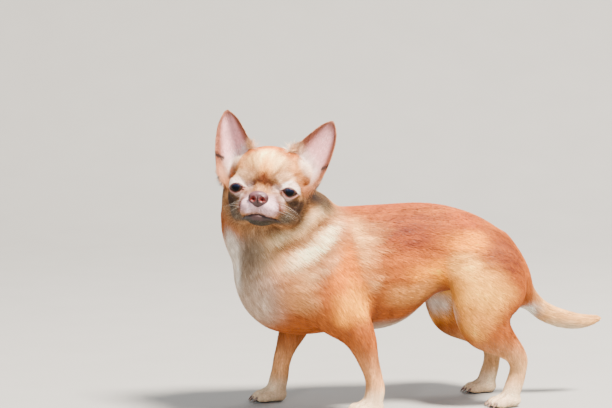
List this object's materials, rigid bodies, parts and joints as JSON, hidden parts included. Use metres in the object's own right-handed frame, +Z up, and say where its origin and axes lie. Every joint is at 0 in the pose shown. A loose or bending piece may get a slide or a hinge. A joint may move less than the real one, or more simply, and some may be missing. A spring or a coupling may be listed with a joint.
{
  "type": "chihuahua dog",
  "caption": "Life-size still model of a red-fawn, smooth-coated chihuahua standing with its head turned to its left and its tail held low.",
  "frame": {"origin": "middle of the bounding box at the floor the dog stands on", "axes": "-Y the way the dog's body faces, +X its left side, +Z up"},
  "size_m": [0.1556, 0.392, 0.284],
  "materials": {
    "coat_red": "short smooth fur, matt with a soft sheen",
    "coat_cream": "short smooth fur, pale",
    "ear_skin": "thin bare skin with sparse down",
    "nose_leather": "moist pebbled skin",
    "eye": "wet and glossy"
  },
  "bodies": {
    "root": {"head": "coat_cream", "jaw": "coat_cream", "neck": "coat_cream", "chest": "coat_red", "loin": "coat_red", "tail": "coat_red", "tail_tip": "coat_red", "shoulder_left": "coat_red", "forearm_left": "coat_red", "forepaw_left": "coat_cream", "thigh_left": "coat_red", "shank_left": "coat_red", "hindpaw_left": "coat_cream", "shoulder_right": "coat_red", "forearm_right": "coat_red", "forepaw_right": "coat_cream", "thigh_right": "coat_red", "shank_right": "coat_red", "hindpaw_right": "coat_cream", "ear_left": "ear_skin", "ear_right": "ear_skin", "eye_left": "eye", "eye_right": "eye", "nose": "nose_leather"}
  },
  "joints": []
}
